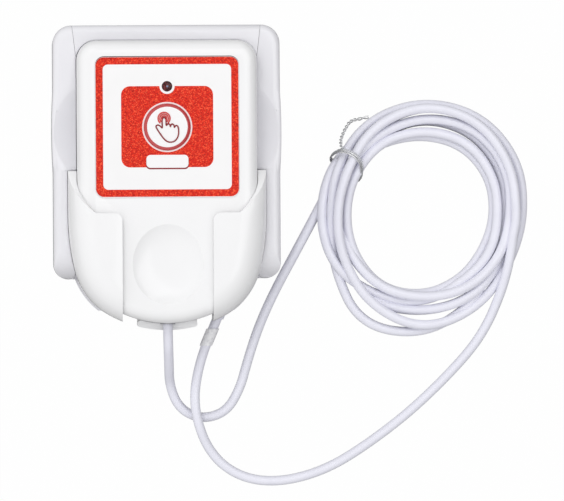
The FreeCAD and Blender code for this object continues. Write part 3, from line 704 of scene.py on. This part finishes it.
def panel_outline():
    """The panel's outline, with a notch round the light window in its top edge."""
    points = rounded_outline(*panel_half, panel_mid_y, panel_round)
    top = panel_mid_y + panel_half[1]
    radius = (light_ring_r + light_hole_r) / 2
    start = math.degrees(math.asin((top - light_y) / radius))
    turns = [start - (180 + 2 * start) * i / 24 for i in range(25)]
    notch = [
        (radius * math.cos(math.radians(t)), light_y + radius * math.sin(math.radians(t)))
        for t in turns
    ]
    split = len(points) // 4
    return points[:split] + notch + points[split:]


def make_window():
    """The dark lens in the light window, set a little below the film, and a small blue-grey disc in its
    middle for the LED die, lightened as a painted highlight.
    """
    profile = [
        (0.0, film_z - 0.02), (0.8, film_z - 0.06), (1.4, film_z - 0.16), (1.8, film_z - 0.32),
        (2.05, film_z - 0.4), (2.05, film_z - 1.6), (0.0, film_z - 1.6),
    ]
    lens = smooth(lathe("light_lens", 0, light_y, profile, 48), 50)
    place(lens, "unit", "clear", window_dark, "light_pipe")
    # The LED die in the lens's middle, its blue-grey a painted highlight
    glint = lathe("light_die_glint", 0.1, light_y, [
        (0.0, film_z + 0.02), (0.3, film_z + 0.01), (0.42, film_z - 0.04), (0.42, film_z - 0.1),
        (0.0, film_z - 0.1),
    ], 24)
    place(smooth(glint), "unit", "clear", window_glint)


def make_button():
    """The red cap with its rounded shoulder, and the white face with the touch sign."""
    profile = [(radius, button_top - below) for radius, below in cap_profile]
    cap = smooth(lathe("button_cap", 0, button_y, profile, 128), 50)
    place(cap, "call_button", "red_cap", red_plastic, "call_button")
    face_low = button_top - 0.03
    face = lathe("button_face", 0, button_y, [
        (0.0, face_low + 0.055), (7.4, face_low + 0.055), (7.9, face_low + 0.035),
        (disc_r, face_low - 0.03), (disc_r, face_low - 0.1), (0.0, face_low - 0.1),
    ], 128)
    place(smooth(face, 50), "call_button", "film", label_white)
    z = button_top + 0.03
    hand = nurbs_tube("sign_hand", [(x, y + button_y, z) for x, y in sign_hand], sign_line, True, 6, 2)
    place(hand, "call_button", "red_cap", red_print_and_shadow)
    for i, radius in enumerate(sign_rings):
        cx, cy = sign_ring_at
        start = -90 + sign_ring_open
        turns = [math.radians(start + (360 - 2 * sign_ring_open) * k / 16) for k in range(17)]
        points = [
            (cx + radius * math.cos(t), cy + button_y + radius * math.sin(t), z) for t in turns
        ]
        ring = nurbs_tube(f"sign_ring_{i}", points, sign_line, False, 6, 2)
        place(ring, "call_button", "red_cap", sign_red)


def coil_points():
    """The coil's control points in millimetres, from the passes' radii and heights."""
    points = []
    for one_pass in coil_passes:
        for step, (radius, height) in zip(coil_steps, one_pass):
            turn = math.radians(step + coil_turn)
            x = coil_centre[0] + radius * math.cos(turn)
            points.append((x, coil_centre[1] + radius * math.sin(turn), height))
    return points


def make_cord():
    route = cord_start + coil_points() + cord_end
    cord = nurbs_tube("cord", route, cord_dia / 2 / MM, resolution=10, bevel=7)
    place(cord, "unit", "cord", cord_lavender, "handset_cord", "cord_coil", "base_cord")


def make_tie():
    """Four turns of thin wire round the bundle, each a little apart, and a twisted tail."""
    along = Vector(tie_along)
    centre = Vector(tie_centre)
    parts = []
    for i, (shift, grow) in enumerate(tie_turns):
        points = []
        for x, y, z in tie_loop:
            p = Vector((x, y, z))
            out = (p - centre).normalized() * grow
            out.z = max(out.z, 0.0)
            points.append(tuple(p + out + along * shift))
        parts.append(nurbs_tube(f"tie_turn_{i}", points, tie_wire, True, 8, 3))
    place(parts[0], "unit", "tie", silver, "wire_tie")
    for obj, material in zip(parts[1:], (wire_coat, silver, wire_coat)):
        place(obj, "unit", "tie", material)
    guide = nurbs_tube("tie_guide", tie_tail, 0.0, False, 12, 0)
    line = bpy.data.meshes.new_from_object(guide)
    path = [v.co.copy() for v in line.vertices]
    bpy.data.objects.remove(guide)
    for strand in range(2):
        points = []
        for k, here in enumerate(path):
            ahead = path[min(k + 1, len(path) - 1)] - path[max(k - 1, 0)]
            side = ahead.cross(Vector((0, 0, 1))).normalized()
            up = side.cross(ahead).normalized()
            turn = k * tie_twist_step + strand * math.pi
            off = side * math.cos(turn) + up * math.sin(turn)
            points.append(tuple((here + off * tie_twist_r * MM) / MM))
        strand_obj = nurbs_tube(f"tie_tail_{strand}", points, tie_wire, False, 3, 3)
        place(strand_obj, "unit", "tie", (silver, wire_coat)[strand])


# Camera, world, floor and lamps


def make_camera():
    """Looks down on the middle of the view from three metres, a little turned."""
    data = bpy.data.cameras.new("camera")
    data.lens = camera_lens
    data.sensor_width = 36.0
    cam = link(bpy.data.objects.new("camera", data))
    cam.location = view_middle + Vector((camera_side, 0, camera_height))
    back = (cam.location - view_middle).normalized()
    up = Matrix.Rotation(camera_turn, 3, "Z") @ Vector((0, 1, 0))
    right = up.cross(back).normalized()
    up = back.cross(right)
    cam.rotation_euler = Matrix((right, up, back)).transposed().to_euler()
    bpy.context.scene.camera = cam


def make_world():
    """White where the camera looks past the object; as light, bright high up and dim low down."""
    world = bpy.data.worlds.new("world")
    bpy.context.scene.world = world
    world.use_nodes = True
    nodes, links = world.node_tree.nodes, world.node_tree.links
    background = nodes["Background"]
    background.inputs["Color"].default_value = (1, 1, 1, 1)
    where = nodes.new("ShaderNodeTexCoord")
    towards = nodes.new("ShaderNodeVectorMath")
    towards.operation = "DOT_PRODUCT"
    towards.inputs[1].default_value = Vector(sky_pole).normalized()
    height = nodes.new("ShaderNodeMapRange")
    height.interpolation_type = "SMOOTHSTEP"
    height.inputs["From Min"].default_value = sky_span[0]
    height.inputs["From Max"].default_value = sky_span[1]
    height.inputs["To Min"].default_value = sky_level[0]
    height.inputs["To Max"].default_value = sky_level[1]
    path = nodes.new("ShaderNodeLightPath")
    mix = nodes.new("ShaderNodeMix")
    mix.inputs["B"].default_value = 1.0
    links.new(where.outputs["Generated"], towards.inputs[0])
    links.new(towards.outputs["Value"], height.inputs["Value"])
    links.new(height.outputs["Result"], mix.inputs["A"])
    links.new(path.outputs["Is Camera Ray"], mix.inputs["Factor"])
    links.new(mix.outputs["Result"], background.inputs["Strength"])


def make_floor():
    """A plain pale floor, white to the camera but for a faint shadow."""
    mesh = bpy.data.meshes.new("floor")
    signs = ((-1, -1), (1, -1), (1, 1), (-1, 1))
    corners = [(sx * floor_half, sy * floor_half, floor_z) for sx, sy in signs]
    mesh.from_pydata(corners, [], [(0, 1, 2, 3)])
    floor = link(bpy.data.objects.new("floor", mesh))
    mat = bpy.data.materials.new("floor")
    mat.use_nodes = True
    nodes, links = mat.node_tree.nodes, mat.node_tree.links
    shader = nodes["Principled BSDF"]
    shader.inputs["Base Color"].default_value = (floor_tone, floor_tone, floor_tone, 1)
    shader.inputs["Roughness"].default_value = 0.9
    glow = nodes.new("ShaderNodeEmission")
    path = nodes.new("ShaderNodeLightPath")
    part = nodes.new("ShaderNodeMath")
    part.operation = "MULTIPLY"
    part.inputs[1].default_value = floor_glow
    mix = nodes.new("ShaderNodeMixShader")
    links.new(path.outputs["Is Camera Ray"], part.inputs[0])
    links.new(part.outputs[0], mix.inputs["Fac"])
    links.new(shader.outputs[0], mix.inputs[1])
    links.new(glow.outputs[0], mix.inputs[2])
    links.new(mix.outputs[0], nodes["Material Output"].inputs["Surface"])
    mesh.materials.append(mat)


def make_light(name, where, target, size, power, mirrored=False):
    """A soft square lamp, turned to a target: it lights the object, or only shows in glossy faces."""
    data = bpy.data.lights.new(name, "AREA")
    data.size = size
    data.energy = power
    lamp = link(bpy.data.objects.new(name, data))
    lamp.location = where
    lamp.rotation_euler = (Vector(target) - Vector(where)).to_track_quat("-Z", "Y").to_euler()
    lamp.visible_glossy = mirrored
    lamp.visible_diffuse = not mirrored


make_camera()
make_world()
make_floor()
make_light("key", *key_lamp)
make_light("window", *window_lamp, mirrored=True)

dress_nodes()
for node, width, material in (
    ("holster", 0.35, case_white), ("handset_front", 0.25, case_white),
    ("wing_left", 0.3, wall_white), ("wing_right", 0.3, wall_white),
    ("base_housing", 0.3, wall_white),
):
    softened(node, width, material)
make_label()
make_window()
make_button()
make_cord()
make_tie()

bpy.context.scene.view_settings.view_transform = "Standard"
